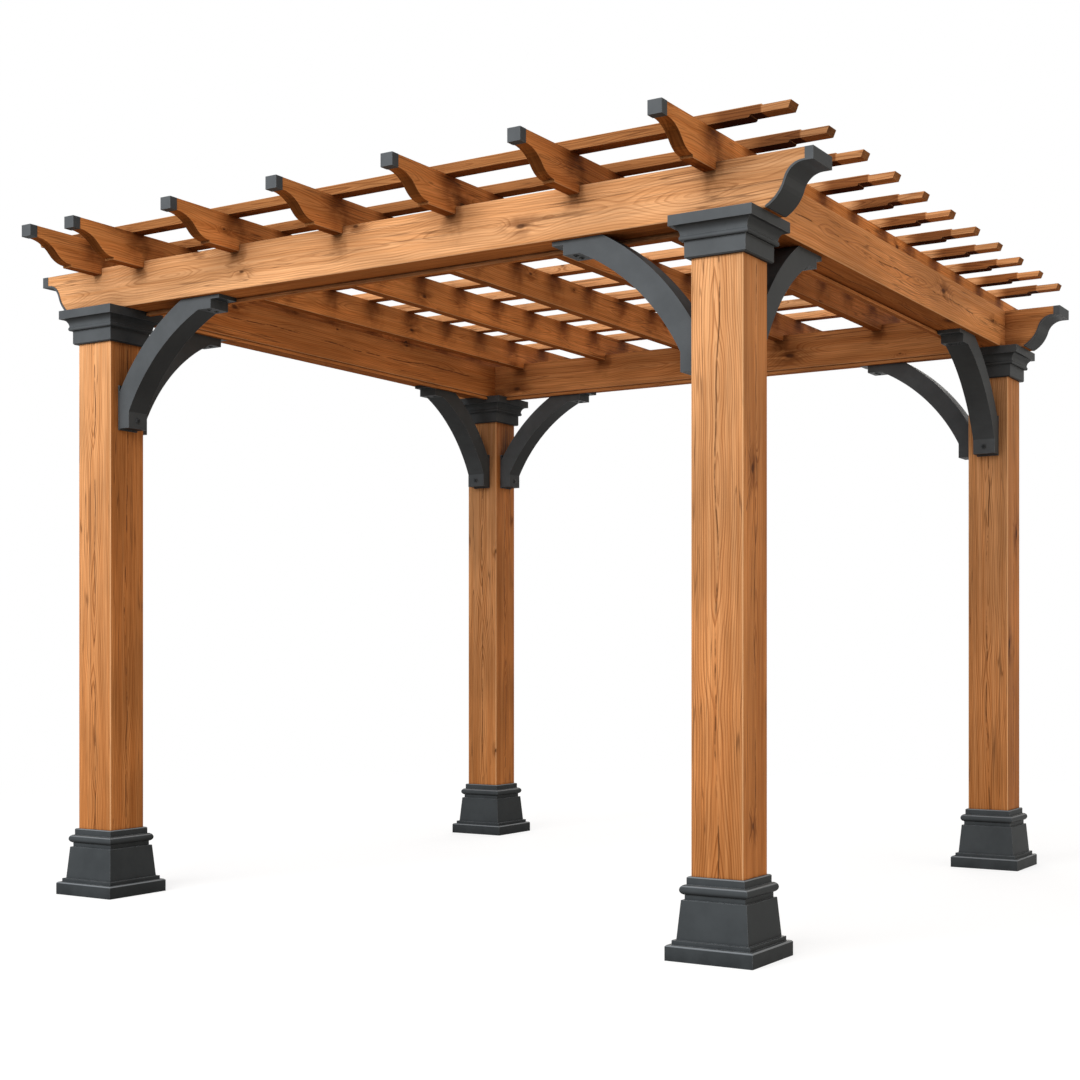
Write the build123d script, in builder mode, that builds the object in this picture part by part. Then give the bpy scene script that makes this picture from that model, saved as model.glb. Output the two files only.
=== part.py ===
from build123d import *
import os

# A free-standing square pergola, in millimetres. Four posts with moulded bases and capitals carry
# a frame of four beams, curved knee braces stiffen the corners, and seven scroll-cut rafters
# carry a row of slats.
# X runs along the front beam, Y runs to the back and Z is up.
# The origin is on the ground, midway between the four posts.

# Posts
post_side = 165
post_edge = 3
post_spacing_x = 2526
post_spacing_y = 2526
clear_height = 2144

# Moulded base around the foot of each post, from the ground up
plinth_side = 278
plinth_height = 45
plinth_edge = 4
step_side = 248
step_height = 13
body_foot_side = 228
body_top_side = 208
body_height = 115
neck_side = 192
neck_height = 15
torus_side = 216
torus_height = 29
band_side = 184
band_height = 23
band_edge = 3

# Moulded capital around the head of each post, from its lower edge up
block_side = 194
block_height = 50
block_edge = 4
bead_side = 218
bead_height = 14
cove_foot_side = 212
cove_top_side = 242
cove_height = 27
plate_side = 265
plate_height = 31

# Front and back beams, and the side beams between them
beam_width = 132
beam_height = 152
beam_overhang = 290
beam_edge = 2.5
beam_foot_inset = 141
beam_scroll_shares = (0.5, 0.38)

# Dark trim on the beam ends: a cap on the nose and a strip along the scroll
trim_cap_length = 26
trim_cap_height = 38
trim_thickness = 5
trim_lip = 2
trim_seat_gap = 0.3

# Strip along the inner edge of each beam's underside, hung below a shadow gap
soffit_height = 10
soffit_neck_height = 5
soffit_shadow_depth = 6
soffit_end_gap = 2
soffit_brace_gap = 1

# Knee braces, measured from the corner between post face and beam underside
brace_width = 90
brace_beam_leg = 455
brace_post_leg = 438
brace_block_length = 59
brace_foot_thickness = 54
brace_head_thickness = 46
brace_bow = 41
brace_thickness = 76
brace_plate_thickness = 6
brace_plate_lap = 27
brace_plate_drop = 5
brace_ear_length = 40
brace_ear_height = 14

# Rafters
rafter_count = 7
rafter_first_bay = 215
rafter_last_inset = 31
rafter_thickness = 42
rafter_depth = 115
rafter_notch = 24
rafter_notch_gap = 1
rafter_overhang = 400
rafter_edge = 1.5
rafter_foot_setback = 188
rafter_quirk = 8
rafter_scroll_shares = (0.42, 0.42)

# Caps on the rafter ends
rafter_cap_length = 33
rafter_cap_height = 39
rafter_cap_lip = 1.5

# Slats
slat_count = 11
slat_row_overhang = 95
slat_end_overhang = 247
slat_width = 54
slat_thickness = 32
slat_edge = 1.5
slat_top_tail = 90
slat_top_step = 4
slat_bottom_tail = 125
slat_bottom_step = 7
slat_end_bevel = 9

# Heights and places that follow from the sizes above
post_x = post_spacing_x / 2
post_y = post_spacing_y / 2
base_height = plinth_height + step_height + body_height + neck_height + torus_height + band_height
capital_height = block_height + bead_height + cove_height + plate_height
beam_top = clear_height + beam_height
rafter_bottom = beam_top - rafter_notch
rafter_top = rafter_bottom + rafter_depth
slat_top = rafter_top + slat_thickness
soffit_width = (beam_width - brace_width) / 2 - soffit_brace_gap
corners = {
    "front_left": (-1, -1),
    "front_right": (1, -1),
    "back_right": (1, 1),
    "back_left": (-1, 1),
}


def finish(piece, name):
    piece.part.label = name
    export_step(piece.part, f"parts/{name}.step")


def upright(origin, along):
    # A vertical plane through origin whose first axis points along the given level direction.
    return Plane(origin=origin, x_dir=along, z_dir=Vector(along).cross(Vector(0, 0, 1)))


def scroll(start, end, turn_shares):
    # An S-curve of two arcs that starts level and turns back at the given shares of its run and drop.
    turn = (
        start[0] + (end[0] - start[0]) * turn_shares[0],
        start[1] + (end[1] - start[1]) * turn_shares[1],
    )
    hollow = TangentArc(start, turn, tangent=(end[0] - start[0], 0))
    TangentArc(turn, end, tangent=hollow % 1)


def base_outline():
    step_foot = plinth_height
    body_foot = step_foot + step_height
    body_top = body_foot + body_height
    torus_foot = body_top + neck_height
    torus_top = torus_foot + torus_height
    Polyline(
        (0, 0),
        (plinth_side / 2, 0),
        (plinth_side / 2, plinth_height - plinth_edge),
        (plinth_side / 2 - plinth_edge, plinth_height),
        (step_side / 2, step_foot),
        (step_side / 2, body_foot),
        (body_foot_side / 2, body_foot),
        (body_top_side / 2, body_top),
        (neck_side / 2, body_top),
        (neck_side / 2, torus_foot),
    )
    ThreePointArc(
        (neck_side / 2, torus_foot),
        (torus_side / 2, torus_foot + torus_height / 2),
        (neck_side / 2, torus_top),
    )
    Polyline(
        (neck_side / 2, torus_top),
        (band_side / 2, torus_top),
        (band_side / 2, base_height - band_edge),
        (band_side / 2 - band_edge, base_height),
        (0, base_height),
    )


def capital_outline():
    cove_foot = block_height + bead_height
    plate_foot = cove_foot + cove_height
    Polyline(
        (0, 0),
        (block_side / 2 - block_edge, 0),
        (block_side / 2, block_edge),
        (block_side / 2, block_height),
        (cove_foot_side / 2, block_height),
    )
    ThreePointArc(
        (cove_foot_side / 2, block_height),
        (bead_side / 2, block_height + bead_height / 2),
        (cove_foot_side / 2, cove_foot),
    )
    TangentArc((cove_foot_side / 2, cove_foot), (cove_top_side / 2, plate_foot), tangent=(0, cove_height))
    Polyline(
        (cove_top_side / 2, plate_foot),
        (plate_side / 2, plate_foot),
        (plate_side / 2, capital_height),
        (0, capital_height),
    )


def make_post(name, x, y):
    with BuildPart() as post:
        with BuildSketch():
            with Locations((x, y)):
                Rectangle(post_side, post_side)
        extrude(amount=clear_height)
        chamfer(post.edges().filter_by(Axis.Z), post_edge)
    finish(post, name)


def make_collar(name, foot, width, outline):
    # The moulding turns the corner with a mitre: each level cut through the collar is a square.
    front_view = upright(foot, (1, 0, 0))
    side_view = upright(foot, (0, 1, 0))
    with BuildPart() as collar:
        with BuildSketch(front_view):
            with BuildLine():
                outline()
                mirror(about=Plane.YZ)
            make_face()
        extrude(amount=width / 2, both=True)
        with BuildSketch(side_view):
            with BuildLine():
                outline()
                mirror(about=Plane.YZ)
            make_face()
        extrude(amount=width / 2, both=True, mode=Mode.INTERSECT)
        with BuildSketch(Plane.XY.offset(foot[2])):
            with Locations((foot[0], foot[1])):
                Rectangle(post_side, post_side)
        extrude(amount=clear_height - foot[2], mode=Mode.SUBTRACT)
    finish(collar, name)


# The scroll on a beam end runs from behind the nose cap down to the beam's underside.
nose_x = post_x + beam_overhang
cap_back_x = nose_x - trim_cap_length
cap_foot_z = beam_top - trim_cap_height
scroll_foot_x = nose_x - beam_foot_inset


def make_beam(name, y):
    # The wood stops short of the trim by the trim's thickness and a hairline gap.
    setback = trim_thickness + trim_seat_gap
    with BuildPart() as beam:
        with BuildSketch(Plane.XZ.offset(-y - beam_width / 2)):
            with BuildLine():
                Polyline((0, beam_top), (cap_back_x, beam_top), (cap_back_x, cap_foot_z + setback))
                Line((cap_back_x, cap_foot_z + setback), (cap_back_x - setback, cap_foot_z + setback))
                scroll(
                    (cap_back_x - setback, cap_foot_z + setback),
                    (scroll_foot_x - setback, clear_height + setback),
                    beam_scroll_shares,
                )
                Polyline(
                    (scroll_foot_x - setback, clear_height + setback),
                    (scroll_foot_x - setback, clear_height),
                    (0, clear_height),
                )
                mirror(about=Plane.YZ)
            make_face()
        extrude(amount=beam_width)
        chamfer(beam.edges().filter_by(Axis.X).group_by(Axis.Z)[0], beam_edge)
    finish(beam, name)


def make_side_beam(name, x):
    with BuildPart() as beam:
        with BuildSketch(Plane.XY.offset(clear_height)):
            with Locations((x, 0)):
                Rectangle(beam_width, post_spacing_y - beam_width)
        extrude(amount=beam_height)
        chamfer(beam.edges().filter_by(Axis.Y).group_by(Axis.Z)[0], beam_edge)
    finish(beam, name)


def make_beam_trims():
    with BuildPart() as trims:
        for y in (-post_y, post_y):
            for end in (-1, 1):
                side_view = upright((0, y, 0), (end, 0, 0))
                with BuildSketch(side_view):
                    with BuildLine():
                        Polyline(
                            (cap_back_x, beam_top),
                            (nose_x, beam_top),
                            (nose_x, cap_foot_z),
                            (cap_back_x, cap_foot_z),
                        )
                        scroll((cap_back_x, cap_foot_z), (scroll_foot_x, clear_height), beam_scroll_shares)
                        Polyline(
                            (scroll_foot_x, clear_height),
                            (scroll_foot_x - trim_thickness, clear_height),
                            (scroll_foot_x - trim_thickness, clear_height + trim_thickness),
                        )
                        scroll(
                            (cap_back_x - trim_thickness, cap_foot_z + trim_thickness),
                            (scroll_foot_x - trim_thickness, clear_height + trim_thickness),
                            beam_scroll_shares,
                        )
                        Polyline(
                            (cap_back_x - trim_thickness, cap_foot_z + trim_thickness),
                            (cap_back_x, cap_foot_z + trim_thickness),
                            (cap_back_x, beam_top),
                        )
                    make_face()
                extrude(amount=beam_width / 2 + trim_lip, both=True)
    finish(trims, "beam_end_trims")


def make_soffits():
    # Each strip hangs from its beam by a narrower neck, beside the braces, and stops at the capitals.
    runs = [
        ((0, -post_y, clear_height), (1, 0, 0), post_spacing_x),
        ((0, post_y, clear_height), (-1, 0, 0), post_spacing_x),
        ((-post_x, 0, clear_height), (0, -1, 0), post_spacing_y),
        ((post_x, 0, clear_height), (0, 1, 0), post_spacing_y),
    ]
    strip_middle = beam_width / 2 - soffit_width / 2
    with BuildPart() as soffits:
        for middle, along, spacing in runs:
            length = spacing - plate_side - soffit_end_gap * 2
            inward = Vector(0, 0, 1).cross(Vector(along))
            section = Plane(origin=middle, x_dir=inward, z_dir=along)
            with BuildSketch(section):
                with Locations((strip_middle, -soffit_neck_height / 2)):
                    Rectangle(soffit_width - soffit_shadow_depth * 2, soffit_neck_height)
                with Locations((strip_middle, -soffit_neck_height - soffit_height / 2)):
                    Rectangle(soffit_width, soffit_height)
            extrude(amount=length / 2, both=True)
    finish(soffits, "beam_soffits")


# The underside of a brace is one bowed arc between its foot block and its head block, and the back
# is an arc about the same centre. All are measured out from the post and up from the beam's underside.
arc_foot = Vector(brace_foot_thickness, brace_block_length - brace_post_leg)
arc_head = Vector(brace_beam_leg - brace_block_length, -brace_head_thickness)
chord = arc_head - arc_foot
toward_corner = Vector(-chord.Y, chord.X).normalized()
inner_radius = (chord.length**2 / 4 + brace_bow**2) / (brace_bow * 2)
outer_radius = inner_radius + brace_thickness
arc_centre = arc_foot + chord / 2 - toward_corner * (inner_radius - brace_bow)
plate_reach = arc_centre.Y + (outer_radius**2 - (arc_centre.X - brace_plate_thickness) ** 2) ** 0.5
head_reach = arc_centre.X - (outer_radius**2 - arc_centre.Y**2) ** 0.5


def make_brace(name, corner, along):
    with BuildPart() as brace:
        with BuildSketch(upright(corner, along)):
            with BuildLine():
                Polyline(
                    (0, -brace_post_leg - brace_plate_drop),
                    (brace_plate_thickness, -brace_post_leg - brace_plate_drop),
                    (brace_plate_thickness, -brace_post_leg),
                    (brace_foot_thickness, -brace_post_leg),
                    arc_foot,
                )
                ThreePointArc(arc_foot, arc_centre + toward_corner * inner_radius, arc_head)
                Polyline(
                    arc_head,
                    (brace_beam_leg, -brace_head_thickness),
                    (brace_beam_leg, -brace_ear_height),
                    (brace_beam_leg + brace_ear_length, -brace_ear_height),
                    (brace_beam_leg + brace_ear_length, 0),
                    (head_reach, 0),
                )
                ThreePointArc(
                    (head_reach, 0),
                    arc_centre + toward_corner * outer_radius,
                    (brace_plate_thickness, plate_reach),
                )
                Polyline(
                    (brace_plate_thickness, plate_reach),
                    (brace_plate_thickness, plate_reach + brace_plate_lap),
                    (0, plate_reach + brace_plate_lap),
                    (0, -brace_post_leg - brace_plate_drop),
                )
            make_face()
        extrude(amount=brace_width / 2, both=True)
    finish(brace, name)


# Rafter profile, shared by the rafters and their end caps
rafter_end_y = post_y + rafter_overhang
rafter_wood_end_y = rafter_end_y - rafter_cap_length
rafter_foot_y = rafter_end_y - rafter_foot_setback
rafter_tip_z = rafter_top - rafter_cap_height

# The first rafter stands over the left beam with a narrow bay beside it; the others are evenly spaced.
second_rafter_x = rafter_first_bay - post_x
last_rafter_x = post_x - rafter_last_inset
rafter_spacing = (last_rafter_x - second_rafter_x) / (rafter_count - 2)
rafter_places = [-post_x] + [second_rafter_x + rafter_spacing * i for i in range(rafter_count - 1)]
notch_inner_y = post_y - beam_width / 2 - rafter_notch_gap
notch_outer_y = post_y + beam_width / 2 + rafter_notch_gap

# Underside of a rafter from its middle to the beam: the inner ones are notched over the front and
# back beams, the end ones lie flat on the side beams.
notched_underside = [(0, rafter_bottom), (notch_inner_y, rafter_bottom), (notch_inner_y, beam_top)]
flat_underside = [(0, beam_top)]


def make_rafter(name, x, underside):
    with BuildPart() as rafter:
        with BuildSketch(Plane.YZ.offset(x - rafter_thickness / 2)):
            with BuildLine():
                Polyline(
                    *underside,
                    (notch_outer_y, beam_top),
                    (notch_outer_y, rafter_bottom),
                    (rafter_foot_y, rafter_bottom),
                    (rafter_foot_y, rafter_bottom + rafter_quirk),
                )
                scroll(
                    (rafter_foot_y, rafter_bottom + rafter_quirk),
                    (rafter_wood_end_y, rafter_tip_z),
                    rafter_scroll_shares,
                )
                Polyline((rafter_wood_end_y, rafter_tip_z), (rafter_wood_end_y, rafter_top), (0, rafter_top))
                mirror(about=Plane.YZ)
            make_face()
        extrude(amount=rafter_thickness)
        chamfer(rafter.edges().filter_by(Axis.Y).group_by(Axis.Z)[0], rafter_edge)
    finish(rafter, name)


def make_rafter_caps():
    with BuildPart() as caps:
        for x in rafter_places:
            for end_y in (-rafter_end_y + rafter_cap_length / 2, rafter_end_y - rafter_cap_length / 2):
                with BuildSketch(Plane.XY.offset(rafter_tip_z - rafter_cap_lip)):
                    with Locations((x, end_y)):
                        Rectangle(rafter_thickness + rafter_cap_lip * 2, rafter_cap_length)
                extrude(amount=rafter_cap_height + rafter_cap_lip)
        chamfer(caps.edges().filter_by(Axis.Z), rafter_cap_lip)
    finish(caps, "rafter_caps")


def make_slat(name, y):
    # The tails past the outer rafters are cut thinner, with a sloped shoulder and a bevelled end.
    end_x = post_x + slat_end_overhang
    top_shoulder_x = end_x - slat_top_tail
    bottom_shoulder_x = end_x - slat_bottom_tail
    tail_bottom = rafter_top + slat_bottom_step
    tail_top = slat_top - slat_top_step
    with BuildPart() as slat:
        with BuildSketch(Plane.XZ.offset(-y - slat_width / 2)):
            with BuildLine():
                Line((0, rafter_top), (bottom_shoulder_x - slat_bottom_step, rafter_top))
                TangentArc(
                    (bottom_shoulder_x - slat_bottom_step, rafter_top),
                    (bottom_shoulder_x, tail_bottom),
                    tangent=(slat_bottom_step, 0),
                )
                Polyline(
                    (bottom_shoulder_x, tail_bottom),
                    (end_x - slat_end_bevel, tail_bottom),
                    (end_x, tail_top),
                    (top_shoulder_x + slat_top_step, tail_top),
                    (top_shoulder_x, slat_top),
                    (0, slat_top),
                )
                mirror(about=Plane.YZ)
            make_face()
        extrude(amount=slat_width)
        chamfer(slat.edges().filter_by(Axis.X).group_by(Axis.Z)[-1], slat_edge)
    finish(slat, name)


os.makedirs("parts", exist_ok=True)

for corner_name, (side_x, side_y) in corners.items():
    x = side_x * post_x
    y = side_y * post_y
    make_post(f"{corner_name}_post", x, y)
    make_collar(f"{corner_name}_base", (x, y, 0), plinth_side, base_outline)
    make_collar(f"{corner_name}_capital", (x, y, clear_height - capital_height), plate_side, capital_outline)
    post_face_x = side_x * (post_x - post_side / 2)
    post_face_y = side_y * (post_y - post_side / 2)
    make_brace(f"{corner_name}_brace_x", (post_face_x, y, clear_height), (-side_x, 0, 0))
    make_brace(f"{corner_name}_brace_y", (x, post_face_y, clear_height), (0, -side_y, 0))

make_beam("front_beam", -post_y)
make_beam("back_beam", post_y)
make_side_beam("left_beam", -post_x)
make_side_beam("right_beam", post_x)
make_beam_trims()
make_soffits()

for i, x in enumerate(rafter_places):
    at_the_end = i in (0, rafter_count - 1)
    make_rafter(f"rafter_{i + 1}", x, flat_underside if at_the_end else notched_underside)
make_rafter_caps()

slat_row = post_spacing_y + slat_row_overhang * 2
for i in range(slat_count):
    make_slat(f"slat_{i + 1}", slat_row * i / (slat_count - 1) - slat_row / 2)
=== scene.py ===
import math

import bmesh
import bpy
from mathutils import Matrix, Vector


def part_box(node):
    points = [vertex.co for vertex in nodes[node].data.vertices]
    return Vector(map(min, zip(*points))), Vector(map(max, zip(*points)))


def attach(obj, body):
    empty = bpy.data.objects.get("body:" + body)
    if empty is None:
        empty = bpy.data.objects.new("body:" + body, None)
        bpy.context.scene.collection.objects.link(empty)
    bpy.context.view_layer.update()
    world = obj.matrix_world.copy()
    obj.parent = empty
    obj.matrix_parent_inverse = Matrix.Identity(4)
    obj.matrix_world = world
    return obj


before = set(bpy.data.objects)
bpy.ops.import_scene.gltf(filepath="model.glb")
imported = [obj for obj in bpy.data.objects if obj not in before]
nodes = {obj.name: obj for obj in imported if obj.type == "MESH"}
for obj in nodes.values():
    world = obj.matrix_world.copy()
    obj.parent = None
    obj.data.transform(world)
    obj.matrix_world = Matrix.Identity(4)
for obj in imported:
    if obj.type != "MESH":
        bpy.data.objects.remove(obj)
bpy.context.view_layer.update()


def rgb(red, green, blue):
    return (red, green, blue, 1.0)


# The photograph's view: places in metres, picture measures in pixels of a square frame
picture_side = 1080
focal_length = 1678.8
eye_line = 654.65
camera_place = Vector((3.3947, -5.6785, 0.8802))
camera_turn = math.radians(32.2047)
sensor_width = 36

# Light: a large soft box in front of the pergola, weaker ones on its right and behind it, and an even sky
lights = {
    "key": {
        "place": (-0.4, -8.4, 4.6),
        "aim": (0.0, -0.4, 1.6),
        "size": (6.6, 3.9),
        "power": 645,
        "colour": (1.0, 1.0, 1.0),
    },
    "fill": {
        "place": (9.0, -0.4, 1.2),
        "aim": (0.0, 0.2, 1.7),
        "size": (7.0, 2.2),
        "power": 222,
        "colour": (1.0, 0.83, 0.64),
    },
    "back": {
        "place": (-2.6, 9.0, 3.2),
        "aim": (0.0, 0.4, 1.6),
        "size": (6.6, 3.4),
        "power": 330,
        "colour": (1.0, 0.96, 0.90),
    },
}
sky_strength = 0.45
white = rgb(1.0, 1.0, 1.0)

# Floor: it throws warm light up, and shows white with a soft shadow that fades out between two distances
floor_reach = 60
view_reach = floor_reach * 4
floor_colour = rgb(0.40, 0.37, 0.335)
shadow_fade = (2.5, 6.0)
shadow_share = 0.36
shadow_glow = 0.74

# Bolts: a round head in the middle of each brace's foot block, and two small ones under its head block
bolt_radius = 0.0078
bolt_rise = 0.0045
bolt_segments = 20
bolt_rings = 12
washer_radius = 0.0105
washer_rise = 0.0018
washer_segments = 24
small_bolt_scale = 0.85
small_bolt_spacing = 0.036
foot_block_thickness = 0.054
foot_bolt_height = 0.034
head_block_thickness = 0.046
head_bolt_setback = 0.070

# Stain and paint, and the colours laid over them for marks, painted shade and painted highlights
rich_stain = rgb(0.630, 0.250, 0.076)
bleached_stain = rgb(0.77, 0.405, 0.190)
warm_streak = rgb(0.84, 0.76, 0.67)
late_wood = rgb(0.50, 0.38, 0.28)
dark_wood = rgb(0.060, 0.022, 0.010)
# Dark marks: dirt with painted shade where pieces meet, knot smudges, and marks below crossing pieces
dark_mark_tint = rgb(0.36, 0.29, 0.25)
under_shade = rgb(0.74, 0.58, 0.42)
# Paler edges: wear, with a painted highlight
wear_and_highlight_wood = rgb(0.80, 0.47, 0.245)
# The coat is paler higher up: painted light
low_coat = rgb(0.056, 0.063, 0.068)
high_coat = rgb(0.088, 0.096, 0.103)
# Dirt, with painted shade in hollows
coat_grime_and_shade = rgb(0.25, 0.25, 0.25)
# Worn edges, with painted highlights on them and on the low mouldings
wear_and_highlight_coat = rgb(0.24, 0.26, 0.28)
pale_dust = rgb(0.15, 0.147, 0.140)

# Ways to lay one colour over another
cover = "MIX"
tint = "MULTIPLY"


class Graph:
    """Adds nodes to one tree and links them; values and sockets are fed alike."""

    def __init__(self, tree):
        self.tree = tree

    def add(self, kind, feeds=None, **settings):
        node = self.tree.nodes.new(kind)
        for name, value in settings.items():
            setattr(node, name, value)
        for socket, value in (feeds or {}).items():
            self.feed(node.inputs[socket], value)
        return node

    def feed(self, socket, value):
        if isinstance(value, bpy.types.NodeSocket):
            self.tree.links.new(value, socket)
        else:
            socket.default_value = value

    def math(self, operation, *values):
        return self.add("ShaderNodeMath", dict(enumerate(values)), operation=operation).outputs[0]

    def times(self, first, *others):
        for other in others:
            first = self.math("MULTIPLY", first, other)
        return first

    def rest(self, share):
        return self.math("SUBTRACT", 1.0, share)

    def choose(self, mask, off, on):
        return self.math("MULTIPLY_ADD", mask, self.math("SUBTRACT", on, off), off)

    def vector(self, operation, *values):
        node = self.add("ShaderNodeVectorMath", dict(enumerate(values)), operation=operation)
        scalar = operation in ("LENGTH", "DOT_PRODUCT")
        return node.outputs["Value" if scalar else "Vector"]

    def scaled(self, vector, factor):
        node = self.add("ShaderNodeVectorMath", {0: vector, "Scale": factor}, operation="SCALE")
        return node.outputs["Vector"]

    def split(self, vector):
        return list(self.add("ShaderNodeSeparateXYZ", {0: vector}).outputs)

    def joined(self, x, y, z):
        return self.add("ShaderNodeCombineXYZ", {0: x, 1: y, 2: z}).outputs[0]

    def grey(self, value):
        return self.joined(value, value, value)

    def noise(self, vector, scale=1.0, detail=2.0, roughness=0.5, output="Fac"):
        feeds = {"Vector": vector, "Scale": scale, "Detail": detail, "Roughness": roughness}
        return self.add("ShaderNodeTexNoise", feeds).outputs[output]

    def fade(self, value, limits, ends=(0.0, 1.0), kind="SMOOTHSTEP"):
        """Goes smoothly from one end to the other while the value passes from one limit to the other."""
        feeds = {
            "Value": value,
            "From Min": limits[0],
            "From Max": limits[1],
            "To Min": ends[0],
            "To Max": ends[1],
        }
        return self.add("ShaderNodeMapRange", feeds, interpolation_type=kind).outputs["Result"]

    def ramp(self, value, limits, ends=(0.0, 1.0)):
        """Goes evenly from one end to the other."""
        return self.fade(value, limits, ends, "LINEAR")

    def share(self, mask, off, on):
        """Goes evenly from one value to the other as a mask rises from 0 to 1."""
        return self.ramp(mask, (0.0, 1.0), (off, on))

    def blend(self, factor, first, second, kind=cover):
        node = self.add("ShaderNodeMix", data_type="RGBA", blend_type=kind)
        self.feed(node.inputs["Factor"], factor)
        self.feed(node.inputs[6], first)
        self.feed(node.inputs[7], second)
        return node.outputs[2]

    def painted(self, colour, *layers):
        """Lays paints over a colour, each through its mask."""
        for mask, paint, kind in layers:
            colour = self.blend(mask, colour, paint, kind)
        return colour

    def group(self, tree, **feeds):
        node = self.add("ShaderNodeGroup", node_tree=tree)
        for name, value in feeds.items():
            self.feed(node.inputs[name.replace("_", " ")], value)
        return node.outputs


def new_group(name, inputs, outputs):
    tree = bpy.data.node_groups.new(name, "ShaderNodeTree")
    for socket_name, kind in inputs.items():
        tree.interface.new_socket(socket_name, in_out="INPUT", socket_type="NodeSocket" + kind)
    for socket_name, kind in outputs.items():
        tree.interface.new_socket(socket_name, in_out="OUTPUT", socket_type="NodeSocket" + kind)
    graph = Graph(tree)
    ins = graph.add("NodeGroupInput").outputs
    outs = graph.add("NodeGroupOutput").inputs
    return tree, graph, ins, outs


def board_place_group():
    """Finds which board of a regular row a point is on, and the point's place from that board's centre."""
    tree, g, ins, outs = new_group(
        "board place",
        {"Position": "Vector", "Centre": "Vector", "Pitch": "Vector"},
        {"Local": "Vector", "Chance": "Vector"},
    )
    half_share = 0.5
    to_nearest = (0.5, 0.5, 0.5)
    row_shuffle = (7.3, 5.9, 3.1)
    half = g.scaled(ins["Pitch"], half_share)
    low = g.vector("SUBTRACT", ins["Centre"], half)
    high = g.vector("ADD", ins["Centre"], half)
    wrapped = g.vector("WRAP", ins["Position"], high, low)
    number = g.vector("DIVIDE", g.vector("SUBTRACT", ins["Position"], wrapped), ins["Pitch"])
    steps = g.vector("FLOOR", g.vector("ADD", number, to_nearest))
    shuffled = g.vector("ADD", steps, g.vector("MULTIPLY", ins["Centre"], row_shuffle))
    chance = g.add("ShaderNodeTexWhiteNoise", {"Vector": shuffled}, noise_dimensions="3D")
    g.feed(outs["Local"], g.vector("SUBTRACT", wrapped, ins["Centre"]))
    g.feed(outs["Chance"], chance.outputs["Color"])
    return tree


def sawn_face_group():
    """Lays out each face of a board flat, with a chance of its own.

    Grain runs along Z, and ends keep both measures.
    """
    tree, g, ins, outs = new_group(
        "sawn face",
        {"Local": "Vector", "Normal": "Vector", "Chance": "Vector"},
        {
            "Across": "Float",
            "Inward": "Float",
            "Along": "Float",
            "Chance": "Vector",
            "End": "Float",
            "Corner": "Float",
        },
    )
    end_facing = 0.8
    end_fade = (0.2, 0.65)
    corner_fade = (0.12, 0.5)
    chance_spread = 31.0
    sides_in_pair = 2.0
    side_shuffle = 1.7
    x, y, z = g.split(ins["Local"])
    facing_x, facing_y, facing_z = g.split(g.vector("ABSOLUTE", ins["Normal"]))
    end = g.math("GREATER_THAN", facing_z, end_facing)
    on_x = g.times(g.math("GREATER_THAN", facing_x, facing_y), g.rest(end))
    outward = g.choose(on_x, y, x)
    side = g.math("MULTIPLY_ADD", on_x, sides_in_pair, g.math("GREATER_THAN", outward, 0.0))
    side_seed = g.joined(side, g.times(side, side_shuffle), end)
    seed = g.vector("ADD", g.scaled(ins["Chance"], chance_spread), side_seed)
    chance = g.add("ShaderNodeTexWhiteNoise", {"Vector": seed}, noise_dimensions="3D")
    g.feed(outs["Across"], g.choose(on_x, x, y))
    g.feed(outs["Inward"], g.times(end, y))
    g.feed(outs["Along"], z)
    g.feed(outs["Chance"], chance.outputs["Color"])
    g.feed(outs["End"], g.fade(facing_z, end_fade))
    # Corner marks a board's rounded arrises, which take a painted highlight
    g.feed(outs["Corner"], g.fade(g.math("MINIMUM", facing_x, facing_y), corner_fade))
    return tree


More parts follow.
